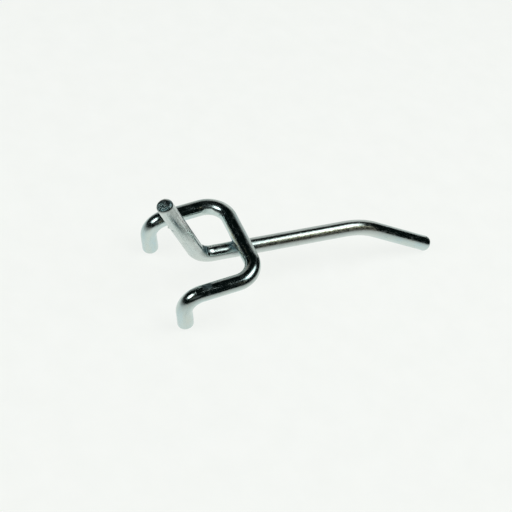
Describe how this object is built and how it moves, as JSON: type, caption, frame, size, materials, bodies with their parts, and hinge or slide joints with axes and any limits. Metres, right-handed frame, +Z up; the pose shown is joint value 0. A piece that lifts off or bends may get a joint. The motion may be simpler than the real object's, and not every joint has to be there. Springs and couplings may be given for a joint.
{
  "type": "single hook for a perforated panel",
  "caption": "Zinc-plated round wire hook: prongs on a welded yoke go into a perforated panel, a brace bears on its front and the arm's turned tip keeps the load on.",
  "frame": {"origin": "bottom centre of the hook's bounding box, on the table that it lies on", "axes": "the hook lies upside down, as pictured: +X along the arm towards the turned tip, +Z up from the table, Y across the two prongs, with y = 0 as the hook's mid-plane; prongs and tip point down"},
  "size_m": [0.1234, 0.044, 0.0452],
  "materials": {
    "zinc_plated_wire": "bright zinc plating on drawn steel wire",
    "weld_metal": "plated weld metal with a blue-grey heat tint"
  },
  "bodies": {
    "root": {"hook_arm": "zinc_plated_wire", "cross_weld": "weld_metal", "mounting_yoke": "zinc_plated_wire"}
  },
  "joints": []
}
